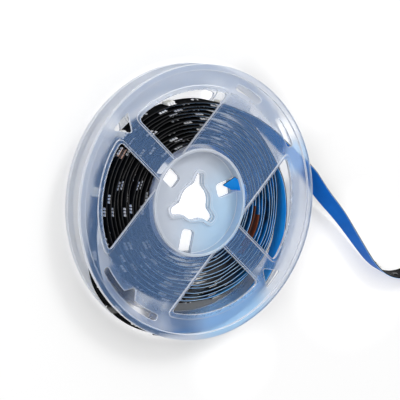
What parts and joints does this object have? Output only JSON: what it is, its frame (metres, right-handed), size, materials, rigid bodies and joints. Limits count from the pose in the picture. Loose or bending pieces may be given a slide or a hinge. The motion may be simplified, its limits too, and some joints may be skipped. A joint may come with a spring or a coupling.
{
  "type": "led strip light reel",
  "caption": "Flat reel of milky translucent plastic, lying on its side, wound with black LED strip on a blue backing liner whose free end runs out over the surface.",
  "frame": {"origin": "on the reel's axis, at the plane that its rear flange lies on", "axes": "+Z along the reel's axis, out of its front flange; +Y towards the reel's upper side as the picture shows it"},
  "size_m": [0.2915, 0.15, 0.016],
  "materials": {
    "reel_plastic": "milky translucent polypropylene, moulded, satin gloss",
    "strip": "black solder mask of a flexible circuit, satin",
    "liner": "blue film liner over the adhesive, smooth",
    "led": "white LED package with a clear pale lens",
    "resistor": "black chip resistor with tinned ends"
  },
  "bodies": {
    "root": {"front_reel_half": "reel_plastic", "led_strip_roll": "strip", "led_strip_tail": "strip", "liner_roll": "liner", "liner_tail": "liner", "rear_reel_half": "reel_plastic", "tail_led_01": "led", "tail_led_02": "led", "tail_led_03": "led", "tail_led_04": "led", "tail_led_05": "led", "tail_led_06": "led", "tail_led_07": "led", "tail_resistor_01": "resistor", "tail_resistor_02": "resistor", "tail_resistor_03": "resistor", "tail_resistor_04": "resistor", "tail_resistor_05": "resistor", "tail_resistor_06": "resistor", "tail_resistor_07": "resistor", "turn_led_01": "led", "turn_led_02": "led", "turn_led_03": "led", "turn_led_04": "led", "turn_led_05": "led", "turn_led_06": "led", "turn_led_07": "led", "turn_led_08": "led", "turn_led_09": "led", "turn_led_10": "led", "turn_led_11": "led", "turn_led_12": "led", "turn_resistor_01": "resistor", "turn_resistor_02": "resistor", "turn_resistor_03": "resistor", "turn_resistor_04": "resistor", "turn_resistor_05": "resistor", "turn_resistor_06": "resistor", "turn_resistor_07": "resistor", "turn_resistor_08": "resistor", "turn_resistor_09": "resistor", "turn_resistor_10": "resistor", "turn_resistor_11": "resistor"}
  },
  "joints": []
}
